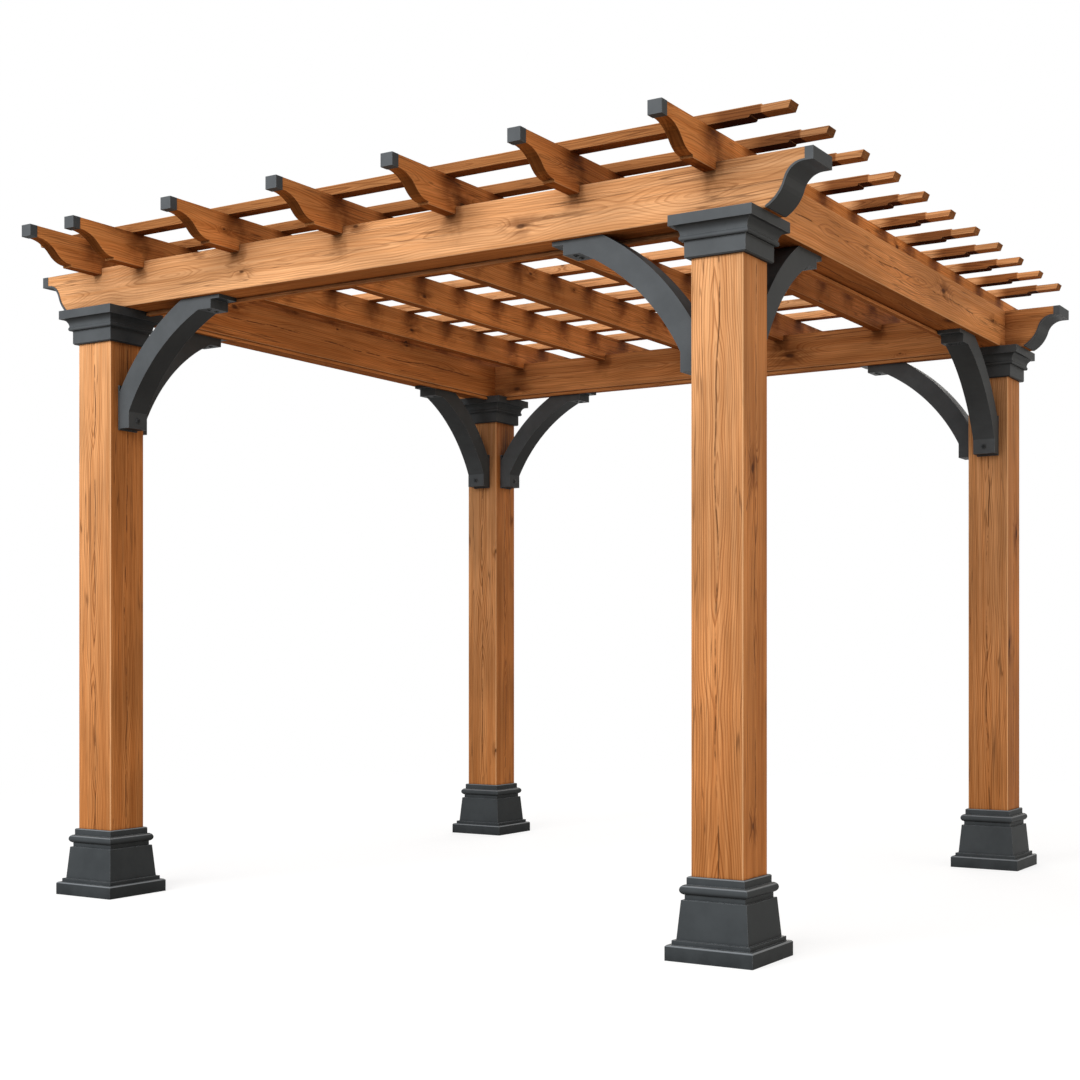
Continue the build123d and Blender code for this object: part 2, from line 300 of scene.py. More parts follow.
def timber_figure_group():
    """Growth rings about a wandering heart under the face, with fibres, knots, hairlines and a crack."""
    tree, g, ins, outs = new_group(
        "timber figure",
        {
            "Across": "Float",
            "Inward": "Float",
            "Along": "Float",
            "Chance": "Vector",
            "Heart Depth": "Float",
            "Ring Width": "Float",
            "Wander": "Float",
            "Knot Share": "Float",
            "Crack": "Float",
        },
        {
            "Late Wood": "Float",
            "Streak": "Float",
            "Fibre": "Float",
            "Patch": "Float",
            "Hairline": "Float",
            "Knot": "Float",
            "Smudge": "Float",
            "Crack": "Float",
        },
    )
    chance_spread = 29.0
    noise_middle = 0.5
    shift = g.scaled(ins["Chance"], chance_spread)
    chance_x, chance_y, chance_z = g.split(shift)
    place = g.joined(ins["Across"], ins["Inward"], ins["Along"])

    # Noises, each with its changes in a metre across and along the grain
    bow = {"rates": (1.5, 1.9), "detail": 1.5}
    ripple = {"rates": (24, 3.4), "detail": 2.0}
    hair = {"rates": (70, 2.0), "detail": 1.0}
    hair_patch = {"rates": (13, 1.5), "detail": 2.0}
    streak = {"rates": (62, 0.9), "detail": 3.0, "roughness": 0.62}
    fibre = {"rates": (270, 5.5), "detail": 3.0, "roughness": 0.6}
    patch = {"rates": (6.5, 1.9), "detail": 2.0}
    feather = {"rates": (46, 13), "detail": 3.0}

    def grained(rates, **settings):
        across_rate, along_rate = rates
        stretched = g.vector("MULTIPLY", place, (across_rate, across_rate, along_rate))
        return g.noise(g.vector("ADD", stretched, shift), **settings)

    def swing(kind):
        centred = g.vector("SUBTRACT", grained(output="Color", **kind), (noise_middle,) * 3)
        return g.split(centred)[:2]

    # The heart bows slowly and ripples a little.
    bow_share = 0.3
    ripple_width = 0.008
    ripple_depth = 0.006
    bow_across, bow_deep = swing(bow)
    ripple_across, ripple_deep = swing(ripple)
    across = g.math("MULTIPLY_ADD", bow_across, g.times(ins["Wander"], bow_share), ins["Across"])
    across = g.math("MULTIPLY_ADD", ripple_across, ripple_width, across)
    depth = g.math("ADD", ins["Heart Depth"], ins["Inward"])
    depth = g.math("MULTIPLY_ADD", bow_deep, ins["Wander"], depth)
    depth = g.math("MULTIPLY_ADD", ripple_deep, ripple_depth, depth)

    # Knots: the ends of small branches, longer along the grain.
    cell_width = 0.10
    cell_length = 0.46
    knot_squash = 0.45
    knot_radii = (0.003, 0.010)
    core_fade = (0.45, 1.35)
    halo_fade = (0.6, 6.5)
    feather_fade = (0.36, 0.60)
    cell_across = g.math("ADD", g.math("DIVIDE", across, cell_width), chance_y)
    cell_along = g.math("ADD", g.math("DIVIDE", ins["Along"], cell_length), chance_x)
    spot = g.joined(cell_across, cell_along, 0.0)
    cells = g.add("ShaderNodeTexVoronoi", {"Vector": spot, "Scale": 1.0}, voronoi_dimensions="2D")
    step_across, step_along = g.split(g.vector("SUBTRACT", spot, cells.outputs["Position"]))[:2]
    step_across = g.times(step_across, cell_width)
    step_along = g.times(step_along, cell_length * knot_squash)
    pick, size = g.split(cells.outputs["Color"])[:2]
    has_knot = g.math("LESS_THAN", pick, ins["Knot Share"])
    distance = g.vector("LENGTH", g.joined(step_across, step_along, 0.0))
    reach = g.math("DIVIDE", distance, g.share(size, *knot_radii))
    core = g.times(g.fade(reach, core_fade, (1.0, 0.0)), has_knot)
    halo = g.times(g.fade(reach, halo_fade, (1.0, 0.0)), has_knot)

    # Rings: early wood darkens to a sharp late-wood line. Arches are pointed, and part round knots.
    round_share = 0.66
    point_share = 0.34
    rings_round_knot = 3.0
    ring_strengths = (0.25, 1.0)
    late_rise = (0.40, 0.88)
    late_fall = (0.92, 1.0)
    arch = g.vector("LENGTH", g.joined(across, depth, 0.0))
    pointed = g.times(g.math("ABSOLUTE", across), point_share)
    ring = g.math("DIVIDE", g.math("MULTIPLY_ADD", arch, round_share, pointed), ins["Ring Width"])
    ring = g.math("MULTIPLY_ADD", halo, rings_round_knot, ring)
    phase = g.math("FRACT", ring)
    year = g.add("ShaderNodeTexWhiteNoise", {"W": g.math("FLOOR", ring)}, noise_dimensions="1D")
    strength = g.share(year.outputs["Value"], *ring_strengths)
    late = g.times(g.fade(phase, late_rise), g.fade(phase, late_fall, (1.0, 0.0)), strength)

    # Hairlines follow the grain in patches.
    hair_fade = (0.003, 0.030)
    hair_patch_fade = (0.46, 0.62)
    hair_step = g.math("ABSOLUTE", g.math("SUBTRACT", grained(**hair), noise_middle))
    hair_here = g.fade(grained(**hair_patch), hair_patch_fade)
    hairline = g.times(g.fade(hair_step, hair_fade, (1.0, 0.0)), hair_here)

    # A drying crack comes and goes along the middle of the face.
    path_rate = 1.9
    path_limits = (0.2, 0.8)
    path_swing = (-0.018, 0.018)
    crack_fade = (0.0006, 0.0034)
    dash_rate = 6.0
    dash_fade = (0.42, 0.56)
    path = g.noise(g.joined(chance_y, chance_z, g.times(ins["Along"], path_rate)), detail=3.0)
    crack_step = g.math("SUBTRACT", ins["Across"], g.ramp(path, path_limits, path_swing))
    crack_line = g.fade(g.math("ABSOLUTE", crack_step), crack_fade, (1.0, 0.0))
    dash_place = g.joined(chance_z, chance_x, g.times(ins["Along"], dash_rate))
    dash = g.fade(g.noise(dash_place, detail=4.0, roughness=0.7), dash_fade)

    g.feed(outs["Late Wood"], late)
    g.feed(outs["Streak"], grained(**streak))
    g.feed(outs["Fibre"], grained(**fibre))
    g.feed(outs["Patch"], grained(**patch))
    g.feed(outs["Hairline"], hairline)
    g.feed(outs["Knot"], core)
    g.feed(outs["Smudge"], g.times(halo, g.fade(grained(**feather), feather_fade)))
    g.feed(outs["Crack"], g.times(crack_line, dash, ins["Crack"]))
    return tree


def eased_edge_group():
    """Rounds the corners for the light, and marks the edges for wear and a painted highlight."""
    tree, g, ins, outs = new_group(
        "eased edge",
        {"Radius": "Float", "Position": "Vector"},
        {"Normal": "Vector", "Wear And Highlight": "Float"},
    )
    wear_and_highlight_fade = (0.02, 0.2)
    patch_fade = (0.25, 0.6)
    patch_strengths = (0.45, 1.0)
    eased = g.add("ShaderNodeBevel", {"Radius": ins["Radius"]}, samples=4).outputs["Normal"]
    flat = g.add("ShaderNodeNewGeometry").outputs["True Normal"]
    turned = g.rest(g.vector("DOT_PRODUCT", eased, flat))
    uneven = g.fade(g.noise(ins["Position"], scale=30.0, detail=3.0), patch_fade, patch_strengths)
    g.feed(outs["Normal"], eased)
    g.feed(outs["Wear And Highlight"], g.times(g.fade(turned, wear_and_highlight_fade), uneven))
    return tree


def grime_and_shade_group():
    """Darkens where pieces meet and in hollows, by how open each point is: dirt, and painted shade."""
    tree, g, ins, outs = new_group("grime_and_shade", {"Reach": "Float", "Position": "Vector"}, {"Grime And Shade": "Float"})
    open_fade = (0.30, 0.90)
    patch_fade = (0.3, 0.7)
    patch_strengths = (0.55, 1.0)
    openness = g.add("ShaderNodeAmbientOcclusion", {"Distance": ins["Reach"]}, samples=5).outputs["AO"]
    patches = g.noise(ins["Position"], scale=17.0, detail=4.0, roughness=0.6)
    uneven = g.fade(patches, patch_fade, patch_strengths)
    g.feed(outs["Grime And Shade"], g.times(g.fade(openness, open_fade, (1.0, 0.0)), uneven))
    return tree


def light_facing_group():
    """How much a face turns toward the light, most in front, and whether it looks outward or down,
    as masks for painted light and shade and for sun-bleach.
    """
    tree, g, ins, outs = new_group(
        "light_facing",
        {"Normal": "Vector", "Outward": "Vector"},
        {"Toward Light": "Float", "Outer": "Float", "Under": "Float"},
    )
    light_way = (-0.10, -0.90, 0.42)
    light_fade = (-0.5, 0.75)
    outer_fade = (-0.6, -0.1)
    under_fade = (-0.6, -0.15)
    g.feed(outs["Toward Light"], g.fade(g.vector("DOT_PRODUCT", ins["Normal"], light_way), light_fade))
    g.feed(outs["Outer"], g.fade(g.vector("DOT_PRODUCT", ins["Normal"], ins["Outward"]), outer_fade))
    g.feed(outs["Under"], g.fade(g.split(ins["Normal"])[2], under_fade, (1.0, 0.0)))
    return tree


def run_mark_group():
    """Dark marks that run down from the pieces laid across a timber at an even step."""
    tree, g, ins, outs = new_group(
        "run_marks",
        {
            "Along": "Float",
            "Height": "Float",
            "First": "Float",
            "Step": "Float",
            "Top": "Float",
            "Drop": "Float",
            "Spread": "Float",
        },
        {"Run Mark": "Float"},
    )
    half = 0.5
    waver_limits = (0.2, 0.8)
    waver_across = (-0.025, 0.025)
    waver_down = (-0.3, 0.3)
    mark_core = 0.008
    run_fade = (0.1, 1.0)
    start = g.math("SUBTRACT", ins["First"], g.times(ins["Step"], half))
    number = g.math("DIVIDE", g.math("SUBTRACT", ins["Along"], start), ins["Step"])
    step = g.times(g.math("SUBTRACT", g.math("FRACT", number), half), ins["Step"])
    waver = g.noise(g.joined(ins["Along"], ins["Height"], 0.0), scale=21.0, detail=3.0)
    step = g.math("ADD", step, g.ramp(waver, waver_limits, waver_across))
    run = g.math("DIVIDE", g.math("SUBTRACT", ins["Top"], ins["Height"]), ins["Drop"])
    run = g.math("ADD", run, g.ramp(waver, waver_limits, waver_down))
    wide = g.fade(g.math("ABSOLUTE", step), (mark_core, ins["Spread"]), (1.0, 0.0))
    down = g.fade(run, run_fade, (1.0, 0.0))
    g.feed(outs["Run Mark"], g.times(wide, down, g.math("GREATER_THAN", number, 0.0)))
    return tree


board_place = board_place_group()
sawn_face = sawn_face_group()
timber_figure = timber_figure_group()
eased_edge = eased_edge_group()
grime_and_shade = grime_and_shade_group()
light_facing = light_facing_group()
run_marks = run_mark_group()


def material_graph(name):
    material = bpy.data.materials.new(name)
    material.use_nodes = True
    material.node_tree.nodes.clear()
    g = Graph(material.node_tree)
    shader = g.add("ShaderNodeBsdfPrincipled")
    out = g.add("ShaderNodeOutputMaterial")
    g.feed(out.inputs["Surface"], shader.outputs["BSDF"])
    return material, g, shader


def bleached_and_lit_stain(g, light_and_weather, height, bleach_and_light):
    """Rich stain, paler higher up as painted light, and paler on faces toward the light as painted light and
    sun-bleach; less pale on faces that look inward.
    """
    painted_light_heights = (0.0, 2.2)
    shaded_bleach = 0.35
    inner_bleach = 0.25
    # Paler higher up: painted light
    bleach_and_light_share = g.ramp(height, painted_light_heights, bleach_and_light)
    # Paler on faces toward the light: painted light, and sun-bleach
    bleach_and_light_share = g.times(bleach_and_light_share, g.share(light_and_weather["Toward Light"], shaded_bleach, 1.0))
    bleach_and_light_share = g.times(bleach_and_light_share, g.share(light_and_weather["Outer"], inner_bleach, 1.0))
    return g.blend(bleach_and_light_share, rich_stain, bleached_stain)


def tail_stain(g, stain, light_and_weather, along_board, tails, between_light):
    """Dark outer stretches with pale tails on a board, the stretch between them paled by the given amount as
    painted light, and a mask of that stretch.
    """
    dark_edge = 0.03
    pale_edge = 0.004
    stretch_side_share = 0.8
    tail_bleach = 0.6
    dark_from, pale_from = tails
    out = g.math("ABSOLUTE", along_board)
    pale = g.fade(out, (pale_from - pale_edge, pale_from + pale_edge))
    dark = g.times(g.fade(out, (dark_from - dark_edge, dark_from + dark_edge)), g.rest(pale))
    between_stretch = g.times(g.rest(g.math("MAXIMUM", dark, pale)), g.rest(light_and_weather["Under"]))
    stretch_darkening = g.times(dark, g.share(light_and_weather["Under"], stretch_side_share, 1.0))
    stain = g.painted(
        stain,
        # Paler between the dark stretches: painted light
        (g.times(between_stretch, between_light), bleached_stain, cover),
        # Darker outer stretches, darkest underneath
        (stretch_darkening, dark_mark_tint, tint),
        (g.times(dark, light_and_weather["Under"]), dark_mark_tint, tint),
        (g.times(pale, tail_bleach), bleached_stain, cover),
    )
    return stain, between_stretch


def grain_shade(g, figure, face, light_and_weather, tone, end_grain_and_shade_tone, underside_light_and_shade):
    """How light the wood is: by fibres, patches, the face's own chance and sawn ends, with painted light and
    shade on ends and undersides as the tones give.
    """
    fibre_limits = (0.28, 0.72)
    fibre_shades = (0.76, 1.14)
    patch_fade = (0.3, 0.7)
    patch_shades = (0.78, 1.12)
    face_shades = (0.93, 1.05)
    return g.times(
        g.ramp(figure["Fibre"], fibre_limits, fibre_shades),
        g.fade(figure["Patch"], patch_fade, patch_shades),
        g.share(g.split(face["Chance"])[1], *face_shades),
        g.share(face["End"], tone, tone * end_grain_and_shade_tone),
        g.share(light_and_weather["Under"], 1.0, underside_light_and_shade),
    )


def wood_roughness(g, figure, light_and_weather):
    """Late wood is smoother than early wood, and undersides are dull."""
    wood_roughnesses = (0.60, 0.48)
    fibre_limits = (0.3, 0.7)
    fibre_roughness = (0.05, -0.05)
    under_dulling = 0.3
    rough = g.share(figure["Late Wood"], *wood_roughnesses)
    rough = g.math("ADD", rough, g.ramp(figure["Fibre"], fibre_limits, fibre_roughness))
    return g.math("MULTIPLY_ADD", light_and_weather["Under"], under_dulling, rough)


def wood_relief(g, figure, normal):
    """Raised grain, with hairlines, cracks and knots sunk in."""
    relief_strength = 0.5
    relief_depth = 0.0012
    rises = {"Fibre": 0.55, "Late Wood": 0.35, "Hairline": -0.6, "Crack": -2.0, "Knot": -0.5}
    relief = 0.0
    for feature, rise in rises.items():
        relief = g.math("MULTIPLY_ADD", figure[feature], rise, relief)
    feeds = {"Height": relief, "Strength": relief_strength, "Distance": relief_depth, "Normal": normal}
    return g.add("ShaderNodeBump", feeds).outputs["Normal"]


def timber(
    name, along, centre, pitch, bleach_and_light, heart_depth, ring_width, wander, knot_share,
    crack=0.0, tone=1.0, end_grain_and_shade_tone=0.5, underside_light_and_shade=1.0, ring_strength=0.85,
    sheltered=(1, 1, 0), crossed=None, tails=None, between_light=0.0,
):
    """Stained softwood for a row of like boards, whose centres lie on a grid of the given pitch.

    The stain is bleached by the two given amounts at the floor and at the beams, which on the posts is
    painted light, paler towards the roof. It is bleached more on faces turned to the light, as sun-bleach
    and painted light, and less on faces that look inward along the sheltered axes. Tone sets how light the
    boards are, and two more tones how light their ends and undersides are beside that: sawn ends darker,
    painted shade on the rafters' ends and undersides, and painted light on the beams' undersides.
    Pieces that cross the board leave dark marks running down below them: crossed holds the first one's
    place, their step, the board's top, and the marks' drop, spread and strength. Tails holds the distances
    from the middle where a board's dark outer stretch and its pale tail begin, and the last argument says
    how far the stretch between the dark ones is lightened, as painted light under the roof.
    """
    edge_radius = 0.0015
    grime_and_shade_reach = 0.16
    between_light_tone = 1.22
    streak_fade = (0.34, 0.66)
    smudge_strength = 0.9
    hairline_strength = 0.55
    knot_strength = 0.85
    crack_strength = 0.9
    grime_and_shade_strength = 0.8
    edge_wear_and_highlight = 0.5
    corner_highlight = 0.6
    gloss = 0.03
    material, g, shader = material_graph(name)
    position = g.add("ShaderNodeTexCoord").outputs["Object"]
    normal = g.add("ShaderNodeNewGeometry").outputs["True Normal"]

    def grain_up(vector):
        x, y, z = g.split(vector)
        return g.joined(*{"X": (y, z, x), "Y": (x, z, y), "Z": (x, y, z)}[along])

    place = g.group(board_place, Position=position, Centre=centre, Pitch=pitch)
    face = g.group(sawn_face, Local=grain_up(place["Local"]), Normal=grain_up(normal), Chance=place["Chance"])
    figure = g.group(
        timber_figure,
        Across=face["Across"],
        Inward=face["Inward"],
        Along=face["Along"],
        Chance=face["Chance"],
        Heart_Depth=heart_depth,
        Ring_Width=ring_width,
        Wander=wander,
        Knot_Share=knot_share,
        Crack=crack,
    )
    edge = g.group(eased_edge, Radius=edge_radius, Position=position)
    dirt_and_shade = g.group(grime_and_shade, Reach=grime_and_shade_reach, Position=position)["Grime And Shade"]
    light_and_weather = g.group(light_facing, Normal=normal, Outward=g.vector("MULTIPLY", position, sheltered))
    height = g.split(position)[2]
    along_board = g.split(grain_up(position))[2]

    stain = bleached_and_lit_stain(g, light_and_weather, height, bleach_and_light)
    shade = grain_shade(g, figure, face, light_and_weather, tone, end_grain_and_shade_tone, underside_light_and_shade)
    if tails:
        stain, between_stretch = tail_stain(g, stain, light_and_weather, along_board, tails, between_light)
        # Lighter between the dark stretches: painted light
        if between_light:
            shade = g.times(shade, g.share(between_stretch, 1.0, between_light_tone))
    stain = g.painted(
        stain,
        (g.fade(figure["Streak"], streak_fade), warm_streak, tint),
        (g.times(figure["Late Wood"], ring_strength), late_wood, tint),
    )
    # Paler edges and arrises: wear, and a painted highlight
    wear_and_highlight = g.math("MAXIMUM", g.times(edge["Wear And Highlight"], edge_wear_and_highlight), g.times(face["Corner"], corner_highlight))
    colour = g.painted(
        g.blend(1.0, stain, g.grey(shade), tint),
        (light_and_weather["Under"], under_shade, tint),
        (g.times(figure["Smudge"], smudge_strength), dark_mark_tint, tint),
        (g.times(figure["Hairline"], hairline_strength), dark_wood, cover),
        (wear_and_highlight, wear_and_highlight_wood, cover),
        (g.times(figure["Knot"], knot_strength), dark_wood, cover),
        (g.times(figure["Crack"], crack_strength), dark_wood, cover),
        # Dirt, and painted shade, where pieces meet
        (g.times(dirt_and_shade, grime_and_shade_strength), dark_mark_tint, tint),
    )
    # Dark marks running down below each crossing piece
    if crossed:
        marks = g.group(
            run_marks,
            Along=along_board,
            Height=height,
            First=crossed["first"],
            Step=crossed["step"],
            Top=crossed["top"],
            Drop=crossed["drop"],
            Spread=crossed["spread"],
        )
        colour = g.blend(g.times(marks["Run Mark"], crossed["strength"]), colour, dark_mark_tint, tint)
    g.feed(shader.inputs["Base Color"], colour)
    g.feed(shader.inputs["Roughness"], wood_roughness(g, figure, light_and_weather))
    g.feed(shader.inputs["Normal"], wood_relief(g, figure, edge["Normal"]))
    shader.inputs["Specular IOR Level"].default_value = gloss
    return material


def coat_corner_highlights(g, normal, height):
    """Marks the slanted facets of the low mouldings for a painted highlight, but not those that look down."""
    slant_fade = (0.5, 0.68)
    upright_fade = (-0.2, 0.0)
    low_fade = (0.5, 1.0)
    turned = g.vector("ABSOLUTE", normal)
    facing_x, facing_y, facing_z = g.split(turned)
    least = g.math("MINIMUM", g.math("MINIMUM", facing_x, facing_y), facing_z)
    most = g.math("MAXIMUM", g.math("MAXIMUM", facing_x, facing_y), facing_z)
    between = g.math("SUBTRACT", g.vector("DOT_PRODUCT", turned, (1, 1, 1)), g.math("ADD", least, most))
    return g.times(
        g.fade(between, slant_fade),
        g.fade(g.split(normal)[2], upright_fade),
        g.fade(height, low_fade, (1.0, 0.0)),
    )


def charcoal_coat(name, tone=1.0):
    """Dark grey satin paint with a faint mottle and dusty ledges, paler higher up as painted light, with
    painted shade on faces turned from the light and on faces that look down, and worn edges with painted
    highlights.
    """
    edge_radius = 0.0022
    grime_and_shade_heights = (0.5, 1.5)
    grime_and_shade_reaches = (0.10, 0.25)
    coat_light_heights = (0.1, 2.2)
    mottle_limits = (0.3, 0.7)
    mottle_shades = (0.90, 1.08)
    mottle_roughness = (0.38, 0.48)
    shaded_coat = 0.6
    under_coat_shade = 0.7
    ledge_fade = (0.55, 0.95)
    dust_fade = (0.4, 0.7)
    dust_strengths = (0.12, 0.4)
    dust_roughness = 0.3
    edge_wear_and_highlight = 0.8
    corner_highlight = 0.75
    grime_and_shade_strength = 0.85
    speck_strength = 0.12
    speck_depth = 0.0006
    gloss = 0.024
    material, g, shader = material_graph(name)
    position = g.add("ShaderNodeTexCoord").outputs["Object"]
    normal = g.add("ShaderNodeNewGeometry").outputs["True Normal"]
    height = g.split(position)[2]
    edge = g.group(eased_edge, Radius=edge_radius, Position=position)
    # The reach grows with height, which deepens the painted shade under the capitals and along the braces
    reach = g.fade(height, grime_and_shade_heights, grime_and_shade_reaches)
    dirt_and_shade = g.group(grime_and_shade, Reach=reach, Position=position)["Grime And Shade"]
    light_and_weather = g.group(light_facing, Normal=normal)
    mottle = g.noise(position, scale=9.0, detail=4.0, roughness=0.6)
    speck = g.noise(position, scale=420.0)
    # The mottle, with painted shade on faces turned from the light and on faces that look down
    shade = g.times(
        g.fade(mottle, mottle_limits, [tone * shade for shade in mottle_shades]),
        g.share(light_and_weather["Toward Light"], shaded_coat, 1.0),
        g.share(light_and_weather["Under"], 1.0, under_coat_shade),
    )
    dust = g.times(g.fade(g.split(normal)[2], ledge_fade), g.fade(mottle, dust_fade, dust_strengths))
    corner = coat_corner_highlights(g, normal, height)
    # Paler edges with wear and a painted highlight, and painted highlights on the low slanted facets
    wear_and_highlight = g.math("MAXIMUM", g.times(edge["Wear And Highlight"], edge_wear_and_highlight), g.times(corner, corner_highlight))
    # Paler higher up: painted light
    clean_coat = g.blend(g.ramp(height, coat_light_heights), low_coat, high_coat)
    colour = g.painted(
        g.blend(1.0, clean_coat, g.grey(shade), tint),
        # Dirt, and painted shade in hollows and under the mouldings
        (g.times(dirt_and_shade, grime_and_shade_strength), coat_grime_and_shade, tint),
        (dust, pale_dust, cover),
        (wear_and_highlight, wear_and_highlight_coat, cover),
    )
    g.feed(shader.inputs["Base Color"], colour)
    rough = g.ramp(mottle, mottle_limits, mottle_roughness)
    g.feed(shader.inputs["Roughness"], g.math("MULTIPLY_ADD", dust, dust_roughness, rough))
    feeds = {"Height": speck, "Strength": speck_strength, "Distance": speck_depth, "Normal": edge["Normal"]}
    g.feed(shader.inputs["Normal"], g.add("ShaderNodeBump", feeds).outputs["Normal"])
    shader.inputs["Specular IOR Level"].default_value = gloss
    return material


def dress(material, *names):
    for name in names:
        slots = nodes[name].data.materials
        slots.clear()
        slots.append(material)


def middle(name):
    low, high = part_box(name)
    return (low + high) / 2


# Rows of like timbers, and the steps between their centres
corners = ("front_left", "front_right", "back_right", "back_left")
rafter_count = 7
slat_count = 11
front_slat_count = 2
even_rafters = [f"rafter_{i}" for i in range(2, rafter_count + 1)]
slats = [f"slat_{i}" for i in range(1, slat_count + 1)]
far = 100.0
post_step = middle("back_right_post") - middle("front_left_post")
rafter_step = middle("rafter_3") - middle("rafter_2")
slat_step = middle("slat_2") - middle("slat_1")
dark_stretch_setback = 0.02
tail_length = 0.09

post_timber = timber(
    "post timber",
    along="Z",
    centre=middle("front_left_post"),
    pitch=(post_step.x, post_step.y, far),
    bleach_and_light=(0.0, 1.0),
    heart_depth=0.020,
    ring_width=0.0068,
    wander=0.16,
    knot_share=0.08,
    crack=0.9,
    tone=0.96,
    sheltered=(1, 0, 0),
)
beam_timber = timber(
    "beam timber",
    along="X",
    centre=middle("front_beam"),
    pitch=(far, post_step.y, far),
    bleach_and_light=(1.0, 1.0),
    heart_depth=0.012,
    ring_width=0.0075,
    wander=0.30,
    knot_share=0.34,
    crack=0.25,
    tone=0.93,
    # Lighter undersides: painted light
    underside_light_and_shade=1.2,
    ring_strength=0.55,
    crossed={
        "first": middle("rafter_2").x,
        "step": rafter_step.x,
        "top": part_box("front_beam")[1].z,
        "drop": 0.13,
        "spread": 0.055,
        "strength": 0.75,
    },
)
side_beam_timber = timber(
    "side beam timber",
    along="Y",
    centre=middle("left_beam"),
    pitch=(post_step.x, far, far),
    bleach_and_light=(0.7, 0.7),
    heart_depth=0.015,
    ring_width=0.0070,
    wander=0.26,
    knot_share=0.28,
    crack=0.9,
    ring_strength=0.6,
)
rafter_kind = {
    "along": "Y",
    "bleach_and_light": (0.1, 0.1),
    "heart_depth": 0.015,
    "ring_width": 0.0065,
    "wander": 0.25,
    "knot_share": 0.5,
    "tone": 1.25,
    # Darker ends and undersides: end grain, and painted shade on the scroll ends and undersides
    "end_grain_and_shade_tone": 0.38,
    "underside_light_and_shade": 0.68,
    "ring_strength": 0.6,
    "crossed": {
        "first": middle("slat_1").y,
        "step": slat_step.y,
        "top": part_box("rafter_2")[1].z,
        "drop": 0.13,
        "spread": 0.095,
        "strength": 0.9,
    },
}
rafter_timber = timber(
    "rafter timber", centre=middle("rafter_2"), pitch=(rafter_step.x, far, far), **rafter_kind
)
end_rafter_timber = timber(
    "end rafter timber", centre=middle("rafter_1"), pitch=(far, far, far), **rafter_kind
)
slat_kind = {
    "along": "X",
    "centre": middle("slat_1"),
    "pitch": (far, slat_step.y, far),
    "bleach_and_light": (0.2, 0.2),
    "heart_depth": 0.014,
    "ring_width": 0.0050,
    "wander": 0.16,
    "knot_share": 0.22,
    "tails": (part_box("rafter_7")[1].x + dark_stretch_setback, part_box("slat_1")[1].x - tail_length),
}
# Lit and shaded copies: the front two slats darker as painted shade, the rest lighter with painted light
shaded_front_slat_timber = timber("shaded front slat timber", tone=0.62, **slat_kind)
lit_slat_timber = timber("lit slat timber", tone=0.95, between_light=0.9, **slat_kind)
coat = charcoal_coat("charcoal coat")
bolt_finish = charcoal_coat("bolt finish", tone=0.35)

dress(post_timber, *(f"{corner}_post" for corner in corners))
dress(beam_timber, "front_beam", "back_beam", "beam_soffits")
dress(side_beam_timber, "left_beam", "right_beam")
dress(rafter_timber, *even_rafters)
dress(end_rafter_timber, "rafter_1")
dress(shaded_front_slat_timber, *slats[:front_slat_count])
dress(lit_slat_timber, *slats[front_slat_count:])
for corner in corners:
    dress(coat, *(f"{corner}_{piece}" for piece in ("base", "capital", "brace_x", "brace_y")))
dress(coat, "beam_end_trims", "rafter_caps")

# The strips under the side beams take the side beams' timber.
strips = nodes["beam_soffits"].data
strips.materials.append(side_beam_timber)
for polygon in strips.polygons:
    polygon.material_index = int(abs(polygon.center.x) > abs(polygon.center.y))


def bolt_places():
    """Each bolt's place on its brace, the way it faces and its scale."""
    places = []
    for corner in corners:
        post = middle(f"{corner}_post")
        for axis, piece in enumerate(("brace_x", "brace_y")):
            low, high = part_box(f"{corner}_{piece}")
            centre = (low + high) / 2
            away = Vector((0, 0, 0))
            away[axis] = 1 if centre[axis] > post[axis] else -1
            at_post, at_tip = (low, high) if away[axis] > 0 else (high, low)
            foot = centre.copy()
            foot[axis] = at_post[axis] + away[axis] * foot_block_thickness
            foot.z = low.z + foot_bolt_height
            places.append((foot, away, 1.0))
            head = centre.copy()
            head[axis] = at_tip[axis] - away[axis] * head_bolt_setback
            head.z = high.z - head_block_thickness
            aside = Vector((0, 0, 0))
            aside[1 - axis] = small_bolt_spacing / 2
            for place in (head - aside, head + aside):
                places.append((place, Vector((0, 0, -1)), small_bolt_scale))
    return places


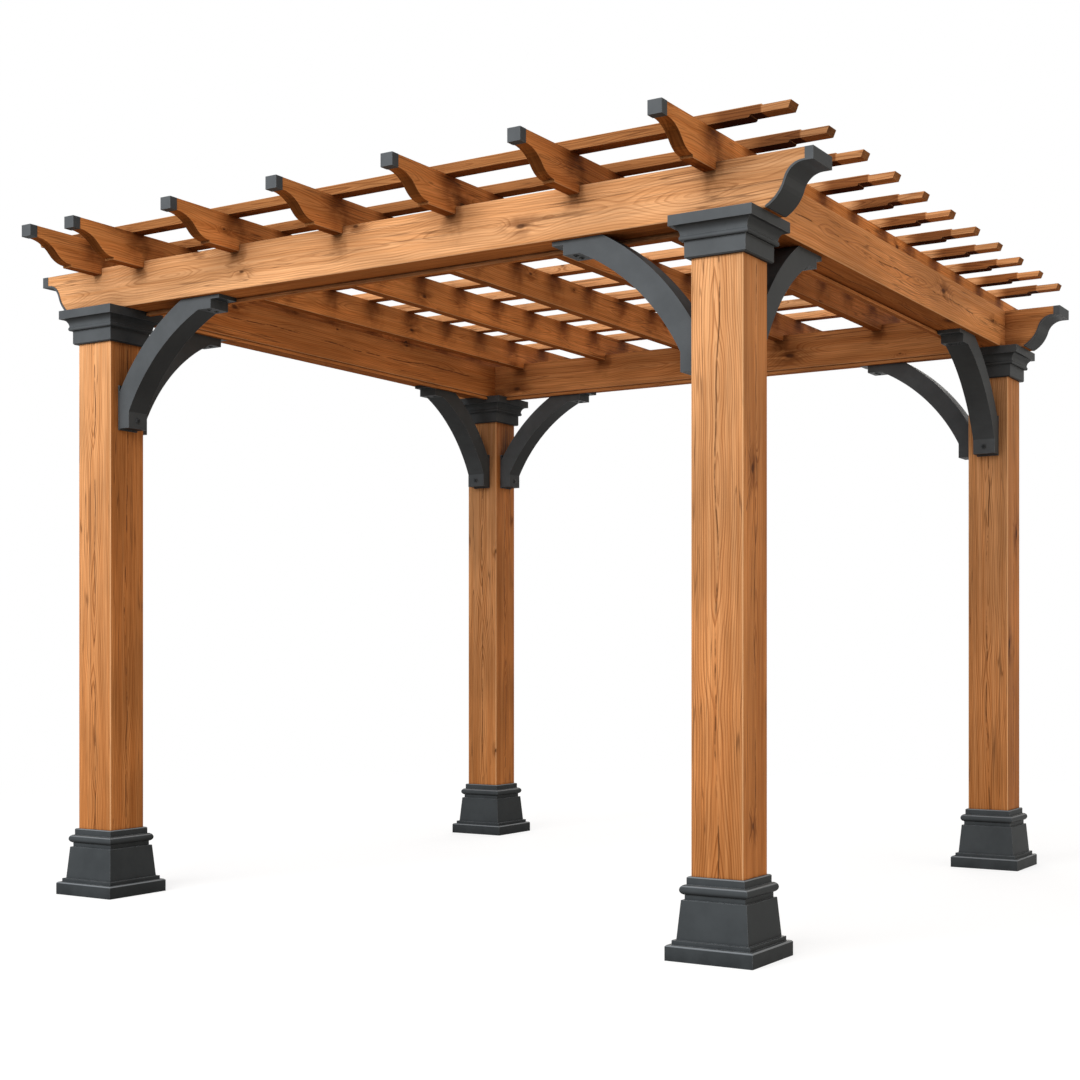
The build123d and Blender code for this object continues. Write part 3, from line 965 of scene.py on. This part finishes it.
def bolt_tree():
    """Sets a washer and a round head on each point, half sunk and turned to face the point's way."""
    tree = bpy.data.node_groups.new("bolts", "GeometryNodeTree")
    tree.interface.new_socket("Geometry", in_out="INPUT", socket_type="NodeSocketGeometry")
    sizes = {}
    for name in ("Radius", "Rise", "Washer Radius", "Washer Rise"):
        socket = tree.interface.new_socket(name, in_out="INPUT", socket_type="NodeSocketFloat")
        sizes[name] = socket.identifier
    tree.interface.new_socket("Geometry", in_out="OUTPUT", socket_type="NodeSocketGeometry")
    g = Graph(tree)
    ins = g.add("NodeGroupInput").outputs
    ball_feeds = {"Segments": bolt_segments, "Rings": bolt_rings, "Radius": ins["Radius"]}
    ball = g.add("GeometryNodeMeshUVSphere", ball_feeds).outputs["Mesh"]
    squash = g.joined(1.0, 1.0, g.math("DIVIDE", ins["Rise"], ins["Radius"]))
    head = g.add("GeometryNodeTransform", {"Geometry": ball, "Scale": squash}).outputs["Geometry"]
    depth = g.times(ins["Washer Rise"], 2.0)
    washer_feeds = {"Vertices": washer_segments, "Radius": ins["Washer Radius"], "Depth": depth}
    washer = g.add("GeometryNodeMeshCylinder", washer_feeds).outputs["Mesh"]
    bolt = g.add("GeometryNodeJoinGeometry")
    for part in (head, washer):
        g.feed(bolt.inputs["Geometry"], part)
    facing = g.add("GeometryNodeInputNamedAttribute", {"Name": "facing"}, data_type="FLOAT_VECTOR")
    scale = g.add("GeometryNodeInputNamedAttribute", {"Name": "scale"}, data_type="FLOAT")
    turn = g.add("FunctionNodeAlignRotationToVector", {"Vector": facing.outputs["Attribute"]}, axis="Z")
    points = g.add("GeometryNodeMeshToPoints", {"Mesh": ins["Geometry"]})
    placed = g.add("GeometryNodeInstanceOnPoints", {
        "Points": points.outputs["Points"],
        "Instance": bolt.outputs["Geometry"],
        "Rotation": turn.outputs["Rotation"],
        "Scale": scale.outputs["Attribute"],
    })
    solid = g.add("GeometryNodeRealizeInstances", {"Geometry": placed.outputs["Instances"]})
    finish_feeds = {"Geometry": solid.outputs["Geometry"], "Material": bolt_finish}
    finished = g.add("GeometryNodeSetMaterial", finish_feeds)
    g.feed(g.add("NodeGroupOutput").inputs["Geometry"], finished.outputs["Geometry"])
    return tree, sizes


def make_bolts():
    places = bolt_places()
    mesh = bpy.data.meshes.new("bolt places")
    mesh.from_pydata([place for place, facing, scale in places], [], [])
    mesh.attributes.new("facing", "FLOAT_VECTOR", "POINT")
    mesh.attributes.new("scale", "FLOAT", "POINT")
    for i, (place, facing, scale) in enumerate(places):
        mesh.attributes["facing"].data[i].vector = facing
        mesh.attributes["scale"].data[i].value = scale
    holder = bpy.data.objects.new("bolt places", mesh)
    bpy.context.collection.objects.link(holder)
    tree, sizes = bolt_tree()
    modifier = holder.modifiers.new("bolts", "NODES")
    modifier.node_group = tree
    modifier[sizes["Radius"]] = bolt_radius
    modifier[sizes["Rise"]] = bolt_rise
    modifier[sizes["Washer Radius"]] = washer_radius
    modifier[sizes["Washer Rise"]] = washer_rise
    shaped = holder.evaluated_get(bpy.context.evaluated_depsgraph_get())
    bolts = bpy.data.objects.new("brace_bolts", bpy.data.meshes.new_from_object(shaped))
    bpy.data.objects.remove(holder)
    bpy.context.collection.objects.link(bolts)
    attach(bolts, "root")


def make_camera():
    data = bpy.data.cameras.new("photograph view")
    data.sensor_width = sensor_width
    data.lens = sensor_width * focal_length / picture_side
    data.shift_y = (eye_line - picture_side / 2) / picture_side
    data.clip_end = view_reach
    camera = bpy.data.objects.new("photograph view", data)
    camera.location = camera_place
    camera.rotation_euler = (math.pi / 2, 0.0, camera_turn)
    bpy.context.collection.objects.link(camera)
    bpy.context.scene.camera = camera


def seen_directly(g):
    """1 for rays from the camera, reflections and glass, and 0 for the light that falls on the pergola."""
    path = g.add("ShaderNodeLightPath").outputs
    seen = g.math("MAXIMUM", path["Is Camera Ray"], path["Is Glossy Ray"])
    return g.math("MAXIMUM", seen, path["Is Transmission Ray"])


def floor_finish():
    material = bpy.data.materials.new("pale floor")
    material.use_nodes = True
    material.node_tree.nodes.clear()
    g = Graph(material.node_tree)
    away = g.vector("LENGTH", g.add("ShaderNodeTexCoord").outputs["Object"])
    share = g.fade(away, shadow_fade, (shadow_share, 0.0))
    strength = g.fade(away, shadow_fade, (shadow_glow, 1.0))
    bounce = g.add("ShaderNodeBsdfDiffuse", {"Color": floor_colour}).outputs[0]
    shadowed = g.add("ShaderNodeBsdfDiffuse", {"Color": g.grey(share)}).outputs[0]
    glow = g.add("ShaderNodeEmission", {"Color": white, "Strength": strength}).outputs[0]
    pale = g.add("ShaderNodeAddShader", {0: shadowed, 1: glow}).outputs[0]
    mixed = g.add("ShaderNodeMixShader", {0: seen_directly(g), 1: bounce, 2: pale}).outputs[0]
    g.feed(g.add("ShaderNodeOutputMaterial").inputs["Surface"], mixed)
    return material


def make_floor():
    mesh = bpy.data.meshes.new("floor")
    shape = bmesh.new()
    bmesh.ops.create_grid(shape, x_segments=1, y_segments=1, size=floor_reach)
    shape.to_mesh(mesh)
    shape.free()
    mesh.materials.append(floor_finish())
    floor = bpy.data.objects.new("floor", mesh)
    bpy.context.collection.objects.link(floor)


def make_sky():
    world = bpy.data.worlds.new("studio")
    bpy.context.scene.world = world
    world.use_nodes = True
    world.node_tree.nodes.clear()
    g = Graph(world.node_tree)
    strength = g.share(seen_directly(g), sky_strength, 1.0)
    background = g.add("ShaderNodeBackground", {"Color": white, "Strength": strength})
    g.feed(g.add("ShaderNodeOutputWorld").inputs["Surface"], background.outputs[0])


def make_lamps():
    for name, light in lights.items():
        data = bpy.data.lights.new(name, "AREA")
        data.shape = "RECTANGLE"
        data.size, data.size_y = light["size"]
        data.energy = light["power"]
        data.color = light["colour"]
        lamp = bpy.data.objects.new(name, data)
        lamp.location = light["place"]
        lamp.rotation_mode = "QUATERNION"
        lamp.rotation_quaternion = (lamp.location - Vector(light["aim"])).to_track_quat("Z", "Y")
        lamp.visible_camera = False
        bpy.context.collection.objects.link(lamp)


make_bolts()
make_camera()
make_floor()
make_sky()
make_lamps()
bpy.context.scene.view_settings.view_transform = "Standard"
